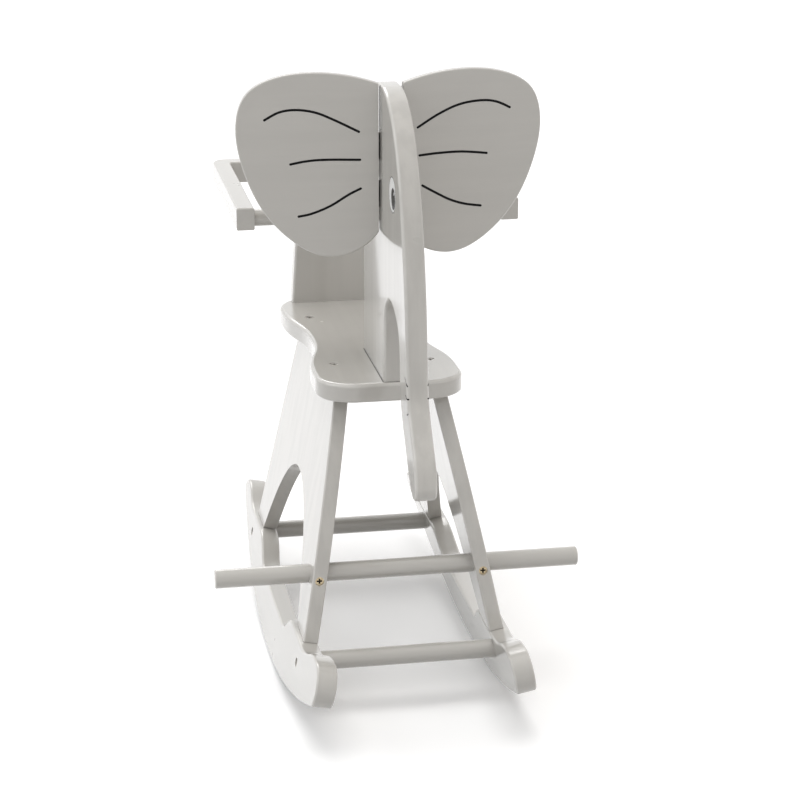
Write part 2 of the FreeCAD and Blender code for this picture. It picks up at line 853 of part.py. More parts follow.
def main():
    """Build every piece, cut the bores that its neighbours need and write the nodes."""
    os.makedirs("parts", exist_ok=True)
    handle_reach = ring_inner_half_width + handle_rail_depth

    # Fasteners of the right side and of the middle
    footrest_leg_x = leg_foot_x + (leg_top_x - leg_foot_x) * footrest_leg_share
    footrest_screws, footrest_bores = placed_screws(
        footrest_screw_length,
        footrest_screw_sink,
        [(Vec(footrest_leg_x, footrest_leg_front_y, footrest_height), Y_AXIS)],
    )
    seat_seats = [
        (Vec(leg_top_x, y, seat_top_height), -Z_AXIS)
        for y in (leg_front_top_y + seat_screw_front_inset, leg_rear_top_y - seat_screw_rear_inset)
    ]
    seat_screws, seat_bores = placed_screws(seat_screw_length, structure_screw_sink, seat_seats)
    crossbar_seats = [
        (Vec(rocker_face_x(1, crossbar_height), y, crossbar_height), -X_AXIS)
        for y in (crossbar_front_y, crossbar_rear_y)
    ]
    crossbar_screws, crossbar_bores = placed_screws(
        crossbar_screw_length, crossbar_screw_sink, crossbar_seats
    )
    neck_seats = [
        (Vec(0, y, seat_underside_height), Z_AXIS)
        for y in (neck_front_y + neck_screw_inset, head_rear_y - neck_screw_inset)
    ]
    neck_screws, neck_bores = placed_screws(neck_screw_length, structure_screw_sink, neck_seats)
    backrest_middle_y = backrest_front_y + backrest_thickness / 2
    backrest_seats = [
        (Vec(x, backrest_middle_y, seat_underside_height), Z_AXIS)
        for x in (-backrest_screw_x, backrest_screw_x)
    ]
    backrest_screws, backrest_bores = placed_screws(
        backrest_screw_length, structure_screw_sink, backrest_seats
    )
    ring_seats = [
        (Vec(x, backrest_middle_y, ring_top_height), -Z_AXIS) for x in (-ring_screw_x, ring_screw_x)
    ]
    ring_screws, ring_bores = placed_screws(ring_screw_length, structure_screw_sink, ring_seats)

    # Pins in the feet, which run along the lean
    foot_pins = []
    pin_bores = []
    foot_middles = (
        (leg_front_foot_y + arch_front_foot_y) / 2,
        (leg_rear_foot_y + arch_rear_foot_y) / 2,
    )
    for middle in foot_middles:
        for side in (-1, 1):
            y = middle + side * foot_pin_spacing / 2
            low = upright(y, -foot_pin_length / 2)
            foot_pins.append(leaned(rod(foot_pin_radius, low, Z_AXIS, foot_pin_length), leg_foot_x))
            bore_low = low - Z_AXIS * wood_fit_gap
            bore_length = foot_pin_length + 2 * wood_fit_gap
            bore = rod(foot_pin_radius + wood_fit_gap, bore_low, Z_AXIS, bore_length)
            pin_bores.append(leaned(bore, leg_foot_x))

    # Sides
    export_pair("rocker", cut_all(make_rocker(), crossbar_bores + pin_bores))
    footrest_bore = rod(
        footrest_radius + wood_fit_gap,
        Vec(0, footrest_y, footrest_height),
        X_AXIS,
        footrest_length / 2,
    )
    leg_cutters = [footrest_bore] + footrest_bores + seat_bores + pin_bores
    export_pair("leg_panel", cut_all(make_leg(), leg_cutters))
    export("foot_pins", both_sides(foot_pins))
    export("front_crossbar", cut_all(crossbar(crossbar_front_y), both_sides(crossbar_bores)))
    export("rear_crossbar", cut_all(crossbar(crossbar_rear_y), both_sides(crossbar_bores)))
    export("crossbar_screws", both_sides(crossbar_screws))
    export("footrest_bar", cut_all(footrest_bar(), both_sides(footrest_bores)))
    export("footrest_screws", both_sides(footrest_screws))

    # Seat, backrest and ring
    seat_cutters = both_sides(seat_bores) + neck_bores + backrest_bores
    export("seat_board", cut_all(make_seat(), seat_cutters))
    export("seat_screws", both_sides(seat_screws))
    export("neck_screws", neck_screws)
    export("backrest_board", cut_all(make_backrest(), backrest_bores + ring_bores))
    export("backrest_screws", backrest_screws)
    handle_low = Vec(-handle_reach, handle_y, handle_height)
    handle_bore = rod(
        handle_radius + wood_fit_gap,
        handle_low - X_AXIS * wood_fit_gap,
        X_AXIS,
        2 * (handle_reach + wood_fit_gap),
    )
    export("guard_ring", cut_all(make_ring(), [handle_bore] + ring_bores))
    export("ring_screws", ring_screws)
    export("handle_bar", rod(handle_radius, handle_low, X_AXIS, 2 * handle_reach))

    # Hinges, head and ears
    head_screws, head_bores = small_screws(head_hinge_screw_length)
    ear_screws, ear_bores = small_screws(ear_hinge_screw_length)
    head_bores_placed = [head_placed(bore) for bore in head_bores]
    head_leaves = []
    ear_leaves = []
    pins = []
    for middle in hinge_middle_heights:
        head_leaves.append(cut_all(head_placed(make_leaf(middle, False)), head_bores_placed))
        ear_leaves.append(ear_placed(cut_all(make_leaf(middle, True), ear_bores)))
        pin = make_pin(middle)
        pin.translate(Vec(hinge_x, hinge_y, 0))
        pins.append(pin)
    head_cutters = both_sides(head_bores_placed) + neck_bores + [handle_bore]
    export("head_panel", cut_all(make_head(), head_cutters))
    export_pair("ear_board", ear_placed(cut_all(make_ear(), ear_bores)))
    export_pair("head_hinge_leaves", head_leaves)
    export_pair("ear_hinge_leaves", ear_leaves)
    export_pair("hinge_pins", pins)
    export_pair("head_hinge_screws", [head_placed(item) for item in head_screws])
    export_pair("ear_hinge_screws", [ear_placed(item) for item in ear_screws])


main()
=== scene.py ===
"""Looks of a child's rocking elephant of painted boards and dowels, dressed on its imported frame.

Metres, +Z up. The trunk points along -Y and the right side is +X, as in the frame.
"""

import logging
import math
from dataclasses import dataclass
from enum import Enum
from typing import Any

import bmesh
import bpy
from mathutils import Matrix, Vector


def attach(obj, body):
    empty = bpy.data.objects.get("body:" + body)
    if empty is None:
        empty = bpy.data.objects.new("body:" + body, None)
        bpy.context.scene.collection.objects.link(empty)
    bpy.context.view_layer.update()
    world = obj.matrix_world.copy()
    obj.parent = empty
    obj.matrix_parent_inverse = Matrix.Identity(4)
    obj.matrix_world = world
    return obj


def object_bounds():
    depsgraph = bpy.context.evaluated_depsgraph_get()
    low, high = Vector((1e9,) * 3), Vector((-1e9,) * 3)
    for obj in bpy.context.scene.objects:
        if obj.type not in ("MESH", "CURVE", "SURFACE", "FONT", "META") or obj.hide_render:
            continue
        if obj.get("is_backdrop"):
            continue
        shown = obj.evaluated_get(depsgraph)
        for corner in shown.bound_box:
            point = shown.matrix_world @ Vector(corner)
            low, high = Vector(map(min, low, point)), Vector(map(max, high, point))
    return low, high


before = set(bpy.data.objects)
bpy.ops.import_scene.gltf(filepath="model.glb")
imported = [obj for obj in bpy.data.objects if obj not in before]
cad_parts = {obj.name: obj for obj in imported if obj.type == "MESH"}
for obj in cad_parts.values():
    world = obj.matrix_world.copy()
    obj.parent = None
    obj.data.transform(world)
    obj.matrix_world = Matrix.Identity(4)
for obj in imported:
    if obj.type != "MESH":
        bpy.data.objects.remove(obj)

LOG = logging.getLogger("rocking_elephant")
MM = 0.001
INK_RISE = 0.05 * MM
EAR_SWEEP = math.radians(3.5)
HEAD_FACE_X = 10 * MM
STEEL = 1.0

# The curve between a screen's values and the linear ones
DISPLAY_TOP = 255
CURVE_KNEE = 0.04045
CURVE_SLOPE = 12.92
CURVE_OFFSET = 0.055
CURVE_POWER = 2.4

Color = tuple[float, float, float]
Point = tuple[float, float, float]
FlatPoint = tuple[float, float]
Span = tuple[float, float]


class Side(Enum):
    """The two sides of the elephant. The value is the sign of x."""

    RIGHT = 1
    LEFT = -1

    @property
    def word(self) -> str:
        """The side's name in the names of nodes and bodies."""
        return self.name.lower()


def display_color(red: int, green: int, blue: int) -> Color:
    """Turn a colour as a screen shows it, 0 to 255, into the linear values that shaders take.

    Args:
        red: The red value.
        green: The green value.
        blue: The blue value.

    Returns:
        The three linear values.
    """

    def linear(value: float) -> float:
        """Return one linear value."""
        share = value / DISPLAY_TOP
        if share <= CURVE_KNEE:
            return share / CURVE_SLOPE
        return ((share + CURVE_OFFSET) / (1 + CURVE_OFFSET)) ** CURVE_POWER

    return linear(red), linear(green), linear(blue)


# Node trees


@dataclass(frozen=True)
class Cloud:
    """A cloudy pattern's look: how many clouds there are to a metre, and how many finer layers they have."""

    scale: float
    layers: float


class Weaver:
    """Short calls that add nodes to one tree and join them."""

    # The Mix node's sockets for two colours and for the mixed one
    FIRST_COLOR, SECOND_COLOR, MIXED_COLOR = 6, 7, 2

    def __init__(self, tree: bpy.types.NodeTree) -> None:
        """Keep the tree that the nodes go into."""
        self.tree = tree

    def add(self, kind: str, inputs: dict[Any, Any] | None = None, **settings: Any) -> bpy.types.Node:
        """Add a node.

        Args:
            kind: The node's type name.
            inputs: Values or output sockets for its inputs, by name or number.
            settings: The node's own properties.

        Returns:
            The node.
        """
        node = self.tree.nodes.new(kind)
        for key, value in settings.items():
            setattr(node, key, value)
        for key, value in (inputs or {}).items():
            socket = node.inputs[key]
            if isinstance(value, bpy.types.NodeSocket):
                self.tree.links.new(value, socket)
            else:
                socket.default_value = value
        return node

    def math(self, operation: str, *values: Any, clamp: bool = False) -> bpy.types.NodeSocket:
        """Add a sum on numbers.

        Args:
            operation: The kind of sum.
            values: Its numbers or sockets, in order.
            clamp: Whether the result is kept from 0 to 1.

        Returns:
            The result's socket.
        """
        kind = "ShaderNodeMath"
        node = self.add(kind, dict(enumerate(values)), operation=operation, use_clamp=clamp)
        return node.outputs[0]

    def vector_math(self, operation: str, *vectors: Any) -> bpy.types.NodeSocket:
        """Add a sum on vectors.

        Args:
            operation: The kind of sum.
            vectors: Its vectors or sockets, in order.

        Returns:
            The result's socket, which is a number for a length or a dot product.
        """
        node = self.add("ShaderNodeVectorMath", dict(enumerate(vectors)), operation=operation)
        return node.outputs["Value" if operation in ("LENGTH", "DOT_PRODUCT") else "Vector"]

    def ramp(self, value: Any, span: Span, start: float = 0, end: float = 1) -> bpy.types.NodeSocket:
        """Turn a value that goes across a span smoothly into one that goes from start to end.

        Args:
            value: The value's socket.
            span: Where the change begins and where it ends.
            start: The result below the span.
            end: The result above it.

        Returns:
            The result's socket.
        """
        inputs = {"Value": value, "From Min": span[0], "From Max": span[1], "To Min": start, "To Max": end}
        return self.add("ShaderNodeMapRange", inputs, interpolation_type="SMOOTHSTEP").outputs["Result"]

    def noise(self, vector: Any, cloud: Cloud) -> bpy.types.NodeSocket:
        """Add a cloudy pattern.

        Args:
            vector: The coordinates.
            cloud: The pattern's look.

        Returns:
            The pattern's socket.
        """
        inputs = {"Vector": vector, "Scale": cloud.scale, "Detail": cloud.layers}
        return self.add("ShaderNodeTexNoise", inputs).outputs["Fac"]

    def mix(self, share: Any, first: Any, second: Any) -> bpy.types.NodeSocket:
        """Mix two colours.

        Args:
            share: How much of the second there is.
            first: The first colour or socket.
            second: The second colour or socket.

        Returns:
            The mixed colour's socket.
        """
        node = self.add("ShaderNodeMix", {0: share}, data_type="RGBA")
        for number, value in ((self.FIRST_COLOR, first), (self.SECOND_COLOR, second)):
            if isinstance(value, bpy.types.NodeSocket):
                self.tree.links.new(value, node.inputs[number])
            else:
                node.inputs[number].default_value = (*value[:3], 1)
        return node.outputs[self.MIXED_COLOR]


class EffectGroup:
    """A shader effect that several finishes share, as one node group with named inputs and outputs."""

    def __init__(self, name: str, inputs: dict[str, str], outputs: dict[str, str]) -> None:
        """Make the empty group.

        Args:
            name: The group's name.
            inputs: The kind of each named input: Vector, Color or Float.
            outputs: The kind of each named output.
        """
        self.tree = bpy.data.node_groups.new(name, "ShaderNodeTree")
        for in_out, sockets in (("INPUT", inputs), ("OUTPUT", outputs)):
            for label, kind in sockets.items():
                self.tree.interface.new_socket(label, in_out=in_out, socket_type="NodeSocket" + kind)
        self.weaver = Weaver(self.tree)
        self.source = self.weaver.add("NodeGroupInput").outputs
        self.target = self.weaver.add("NodeGroupOutput").inputs

    def give(self, results: dict[str, bpy.types.NodeSocket]) -> None:
        """Join the results to the outputs of the same names."""
        for label, socket in results.items():
            self.tree.links.new(socket, self.target[label])


@dataclass(frozen=True)
class PaintFilm:
    """The film of sprayed paint: clouds of tone, the grain below it and its orange peel.

    The grain's patterns count in the stretched space of the board's grain. A tone is how far a pattern
    changes the brightness, and a depth is its part of the film's height.
    """

    clouds: Cloud = Cloud(11, 3)
    cloud_tone: float = 0.07
    cloud_gloss: float = 0.14
    grain: Cloud = Cloud(1, 4)
    grain_span: Span = (0.34, 0.66)
    grain_depth: float = 0.5
    pores: Cloud = Cloud(2.6, 2)
    pore_span: Span = (0.60, 0.72)
    pore_tone: float = 0.008
    pore_depth: float = 0.12
    peel: Cloud = Cloud(620, 2)
    peel_depth: float = 0.10
    waves: Cloud = Cloud(150, 1)
    wave_depth: float = 0.35
    # The rims' lighter tint: partly rubbed paint, partly a painted highlight where the rounded rims catch the
    # light
    worn_rim_highlight_tint: Color = display_color(232, 229, 224)
    worn_rim_highlight_share: float = 0.30
    rub_gloss: float = 0.06

    def build(self) -> bpy.types.NodeTree:
        """Build the group.

        Returns:
            The group's tree.
        """
        group = EffectGroup(
            "paint_film",
            {
                "Coordinates": "Vector",
                "Along Grain": "Vector",
                "Tint": "Color",
                "Grain": "Float",
                "Gloss": "Float",
                "Rub": "Float",
            },
            {"Color": "Color", "Roughness": "Float", "Height": "Float"},
        )
        w, source = group.weaver, group.source
        clouds = w.noise(source["Coordinates"], self.clouds)
        grain = w.noise(source["Along Grain"], self.grain)
        pores = w.ramp(w.noise(source["Along Grain"], self.pores), self.pore_span)
        peel = w.noise(source["Coordinates"], self.peel)
        waves = w.noise(source["Coordinates"], self.waves)
        cloud_tone = w.math("MULTIPLY_ADD", clouds, self.cloud_tone, 1 - self.cloud_tone / 2)
        grain_tone = w.math("MULTIPLY", w.ramp(grain, self.grain_span, -0.5, 0.5), source["Grain"])
        tone = w.math("ADD", cloud_tone, grain_tone)
        tone = w.math("SUBTRACT", tone, w.math("MULTIPLY", pores, self.pore_tone))
        toned = w.add("ShaderNodeHueSaturation", {"Value": tone, "Color": source["Tint"]}).outputs[0]
        # Wear and painted highlight: the rims are mixed towards the lighter tint
        worn_and_highlit = w.mix(w.math("MULTIPLY", source["Rub"], self.worn_rim_highlight_share), toned, self.worn_rim_highlight_tint)
        cloud_gloss = w.math("MULTIPLY_ADD", clouds, self.cloud_gloss, -self.cloud_gloss / 2)
        rough = w.math("ADD", source["Gloss"], cloud_gloss)
        rough = w.math("ADD", rough, w.math("MULTIPLY", source["Rub"], self.rub_gloss))
        height = w.math("MULTIPLY_ADD", peel, self.peel_depth, w.math("MULTIPLY", waves, self.wave_depth))
        height = w.math("MULTIPLY_ADD", grain, self.grain_depth, height)
        height = w.math("SUBTRACT", height, w.math("MULTIPLY", pores, self.pore_depth))
        group.give({"Color": worn_and_highlit, "Roughness": rough, "Height": height})
        return group.tree


@dataclass(frozen=True)
class RimWearAndHighlight:
    """The mask of a board's rounded rims, where the paint is thinner and polished by hands, and where its
    lighter colour also paints in the highlight that the rims catch.

    The spans are of the cosine between the surface's normal and the board's thickness.
    """

    rise_span: Span = (0.10, 0.45)
    fall_span: Span = (0.80, 0.99)
    patches: Cloud = Cloud(34, 4)
    patch_span: Span = (0.30, 0.66)
    least_share: float = 0.35

    def build(self) -> bpy.types.NodeTree:
        """Build the group.

        Returns:
            The group's tree.
        """
        group = EffectGroup(
            "rubbed_rim",
            {"Normal": "Vector", "Thickness": "Vector", "Coordinates": "Vector"},
            {"Mask": "Float"},
        )
        w, source = group.weaver, group.source
        along = w.math("ABSOLUTE", w.vector_math("DOT_PRODUCT", source["Normal"], source["Thickness"]))
        rising = w.ramp(along, self.rise_span)
        falling = w.ramp(along, self.fall_span, 1, 0)
        patches = w.ramp(w.noise(source["Coordinates"], self.patches), self.patch_span, self.least_share)
        rim = w.math("MULTIPLY", rising, falling)
        group.give({"Mask": w.math("MULTIPLY", rim, patches)})
        return group.tree


@dataclass(frozen=True)
class Plating:
    """The mottled colour and the fine scuffs of plated steel."""

    mottle: Cloud = Cloud(420, 3)
    mottle_span: Span = (0.34, 0.68)
    scuffs: Cloud = Cloud(2400, 4)
    scuff_gloss: float = 0.24
    polish: float = 0.10

    def build(self) -> bpy.types.NodeTree:
        """Build the group.

        Returns:
            The group's tree.
        """
        group = EffectGroup(
            "plating",
            {"Coordinates": "Vector", "Tint": "Color", "Second Tint": "Color", "Gloss": "Float"},
            {"Color": "Color", "Roughness": "Float", "Height": "Float"},
        )
        w, source = group.weaver, group.source
        mottle = w.ramp(w.noise(source["Coordinates"], self.mottle), self.mottle_span)
        scuffs = w.noise(source["Coordinates"], self.scuffs)
        color = w.mix(mottle, source["Tint"], source["Second Tint"])
        rough = w.math("ADD", source["Gloss"], w.math("MULTIPLY_ADD", scuffs, self.scuff_gloss, -self.polish))
        group.give({"Color": color, "Roughness": rough, "Height": scuffs})
        return group.tree


@dataclass(frozen=True)
class BareWood:
    """Bare beech: long soft bands with short dark flecks, counted in the grain's stretched space."""

    bands: Cloud = Cloud(1.4, 5)
    band_span: Span = (0.30, 0.70)
    band_gloss: float = 0.16
    flecks: Cloud = Cloud(6, 2)
    fleck_span: Span = (0.58, 0.70)
    fleck_share: float = 0.4
    gloss: float = 0.50

    def build(self) -> bpy.types.NodeTree:
        """Build the group.

        Returns:
            The group's tree.
        """
        group = EffectGroup(
            "bare_wood",
            {"Along Grain": "Vector", "Tint": "Color", "Dark Tint": "Color"},
            {"Color": "Color", "Roughness": "Float", "Height": "Float"},
        )
        w, source = group.weaver, group.source
        bands = w.noise(source["Along Grain"], self.bands)
        flecks = w.ramp(w.noise(source["Along Grain"], self.flecks), self.fleck_span)
        banded = w.ramp(bands, self.band_span, 0, 1 - self.fleck_share)
        share = w.math("ADD", banded, w.math("MULTIPLY", flecks, self.fleck_share), clamp=True)
        color = w.mix(share, source["Tint"], source["Dark Tint"])
        rough = w.math("MULTIPLY_ADD", bands, self.band_gloss, self.gloss)
        group.give({"Color": color, "Roughness": rough, "Height": share})
        return group.tree


class Effects:
    """The shared effects: the film of paint, the rubbed rims with their painted highlight, the plating and
    the bare wood.
    """

    def __init__(self) -> None:
        """Build each group once."""
        self.paint = PaintFilm().build()
        self.rub = RimWearAndHighlight().build()
        self.plating = Plating().build()
        self.wood = BareWood().build()


# Finishes


@dataclass(frozen=True)
class Finish:
    """What every finish has: a name and a way to become a material."""

    name: str

    def build(self, effects: Effects) -> bpy.types.Material:
        """Make the material.

        Args:
            effects: The shared effect groups.

        Returns:
            The material.
        """
        material = bpy.data.materials.new(self.name)
        material.use_nodes = True
        w = Weaver(material.node_tree)
        shader = material.node_tree.nodes["Principled BSDF"]
        self.weave(w, shader, effects)
        return material

    def weave(self, w: Weaver, shader: bpy.types.Node, effects: Effects) -> None:
        """Join this finish's nodes to the shader."""
        raise NotImplementedError

    @staticmethod
    def bump(w: Weaver, shader: bpy.types.Node, height: bpy.types.NodeSocket, depth: float) -> None:
        """Let a height turn the shader's normals.

        Args:
            w: The material's weaver.
            shader: The surface shader.
            height: The height's socket, from 0 to 1.
            depth: The depth in metres of a height of 1.
        """
        node = w.add("ShaderNodeBump", {"Height": height, "Distance": depth, "Strength": 1.0})
        w.tree.links.new(node.outputs["Normal"], shader.inputs["Normal"])

    @staticmethod
    def join(w: Weaver, shader: bpy.types.Node, group: bpy.types.Node) -> None:
        """Join a group's colour and roughness to the shader."""
        w.tree.links.new(group.outputs["Color"], shader.inputs["Base Color"])
        w.tree.links.new(group.outputs["Roughness"], shader.inputs["Roughness"])


@dataclass(frozen=True)
class PaintedWood(Finish):
    """Semi-gloss paint on a board or dowel. The thickness direction tells its faces from its rims."""

    thickness: Point
    grain_scale: Point
    tint: Color = display_color(190, 187, 181)
    grain: float = 0.035
    gloss: float = 0.30
    coat: float = 1.0
    coat_gloss: float = 0.07
    film_depth: float = 0.06 * MM

    def weave(self, w: Weaver, shader: bpy.types.Node, effects: Effects) -> None:
        """Join the paint film and the rubbed rims, with their painted highlight, to the shader."""
        place = w.add("ShaderNodeTexCoord").outputs
        mapping = w.add("ShaderNodeMapping", {"Vector": place["Object"], "Scale": self.grain_scale})
        rub = w.add("ShaderNodeGroup", node_tree=effects.rub)
        film = w.add("ShaderNodeGroup", node_tree=effects.paint)
        for socket, value in (
            (rub.inputs["Normal"], place["Normal"]),
            (rub.inputs["Coordinates"], place["Object"]),
            (film.inputs["Coordinates"], place["Object"]),
            (film.inputs["Along Grain"], mapping.outputs["Vector"]),
            (film.inputs["Rub"], rub.outputs["Mask"]),
        ):
            w.tree.links.new(value, socket)
        rub.inputs["Thickness"].default_value = self.thickness
        film.inputs["Tint"].default_value = (*self.tint, 1)
        film.inputs["Gloss"].default_value = self.gloss
        film.inputs["Grain"].default_value = self.grain
        self.join(w, shader, film)
        self.bump(w, shader, film.outputs["Height"], self.film_depth)
        shader.inputs["Coat Weight"].default_value = self.coat
        shader.inputs["Coat Roughness"].default_value = self.coat_gloss


@dataclass(frozen=True)
class PlatedSteel(Finish):
    """Plated steel of hinges and screws. A reach above 0 paints shade into the colour of what lies in a
    recess of that depth.
    """

    tint: Color
    second_tint: Color
    gloss: float = 0.34
    painted_shade_reach: float = 0.0
    painted_shade_span: Span = (0.66, 0.97)
    painted_shade_tint: Color = display_color(30, 26, 22)
    scuff_depth: float = 0.02 * MM

    def weave(self, w: Weaver, shader: bpy.types.Node, effects: Effects) -> None:
        """Join the plating to the shader."""
        place = w.add("ShaderNodeTexCoord").outputs["Object"]
        plating = w.add("ShaderNodeGroup", node_tree=effects.plating)
        w.tree.links.new(place, plating.inputs["Coordinates"])
        plating.inputs["Tint"].default_value = (*self.tint, 1)
        plating.inputs["Second Tint"].default_value = (*self.second_tint, 1)
        plating.inputs["Gloss"].default_value = self.gloss
        self.join(w, shader, plating)
        if self.painted_shade_reach:
            # Painted shade: deep in a recess, such as the screws' cross, the colour darkens towards a
            # near-black tint
            hollow = w.add("ShaderNodeAmbientOcclusion", {"Distance": self.painted_shade_reach}, only_local=True)
            openness = w.ramp(hollow.outputs["AO"], self.painted_shade_span)
            shade = w.mix(openness, self.painted_shade_tint, plating.outputs["Color"])
            w.tree.links.new(shade, shader.inputs["Base Color"])
        self.bump(w, shader, plating.outputs["Height"], self.scuff_depth)
        shader.inputs["Metallic"].default_value = STEEL


@dataclass(frozen=True)
class BareBeech(Finish):
    """Bare beech of the pins in the feet."""

    grain_scale: Point
    tint: Color = display_color(222, 190, 148)
    dark_tint: Color = display_color(182, 142, 98)
    fleck_depth: float = 0.05 * MM

    def weave(self, w: Weaver, shader: bpy.types.Node, effects: Effects) -> None:
        """Join the bare wood to the shader."""
        place = w.add("ShaderNodeTexCoord").outputs["Object"]
        mapping = w.add("ShaderNodeMapping", {"Vector": place, "Scale": self.grain_scale})
        wood = w.add("ShaderNodeGroup", node_tree=effects.wood)
        w.tree.links.new(mapping.outputs["Vector"], wood.inputs["Along Grain"])
        wood.inputs["Tint"].default_value = (*self.tint, 1)
        wood.inputs["Dark Tint"].default_value = (*self.dark_tint, 1)
        self.join(w, shader, wood)
        self.bump(w, shader, wood.outputs["Height"], self.fleck_depth)


@dataclass(frozen=True)
class PadInk(Finish):
    """Printing ink with a soft sheen, a little thinner in places."""

    tint: Color
    thin_tint: Color
    gloss: float = 0.38
    shine: float = 0.5
    patches: Cloud = Cloud(900, 3)
    patch_span: Span = (0.52, 0.80)
    scuffs: Cloud = Cloud(300, 2)
    scuff_gloss: float = 0.16
    screen: Cloud = Cloud(1600, 2)
    screen_depth: float = 0.01 * MM

    def weave(self, w: Weaver, shader: bpy.types.Node, effects: Effects) -> None:
        """Join the ink to the shader."""
        place = w.add("ShaderNodeTexCoord").outputs["Object"]
        thin = w.ramp(w.noise(place, self.patches), self.patch_span)
        color = w.mix(thin, self.tint, self.thin_tint)
        smoothest = self.gloss - self.scuff_gloss / 2
        rough = w.math("MULTIPLY_ADD", w.noise(place, self.scuffs), self.scuff_gloss, smoothest)
        w.tree.links.new(color, shader.inputs["Base Color"])
        w.tree.links.new(rough, shader.inputs["Roughness"])
        shader.inputs["Specular IOR Level"].default_value = self.shine
        self.bump(w, shader, w.noise(place, self.screen), self.screen_depth)


@dataclass(frozen=True)
class IrisInk(Finish):
    """The iris: black round the pupil and charcoal towards its lower rim. Spans are shares of its radius."""

    centre: Point
    radius: float
    shine: float = 0.12
    black: Color = display_color(14, 14, 15)
    charcoal: Color = display_color(92, 92, 94)
    rim_span: Span = (0.45, 0.62)
    fall_span: Span = (-0.6, 0.9)
    least_fall: float = 0.05
    scuffs: Cloud = Cloud(500, 2)
    scuff_gloss: float = 0.12
    gloss: float = 0.22

    def weave(self, w: Weaver, shader: bpy.types.Node, effects: Effects) -> None:
        """Join the round shades to the shader."""
        place = w.add("ShaderNodeTexCoord").outputs["Object"]
        offset = w.vector_math("SUBTRACT", place, self.centre)
        apart = w.add("ShaderNodeSeparateXYZ", {0: offset}).outputs
        outward = w.math("DIVIDE", w.vector_math("LENGTH", offset), self.radius)
        downward = w.math("DIVIDE", apart["Z"], -self.radius)
        ring = w.ramp(outward, self.rim_span)
        low = w.ramp(downward, self.fall_span, self.least_fall)
        color = w.mix(w.math("MULTIPLY", ring, low), self.black, self.charcoal)
        rough = w.math("MULTIPLY_ADD", w.noise(place, self.scuffs), self.scuff_gloss, self.gloss)
        w.tree.links.new(color, shader.inputs["Base Color"])
        w.tree.links.new(rough, shader.inputs["Roughness"])
        shader.inputs["Specular IOR Level"].default_value = self.shine


# Printed marks and painted joint shade


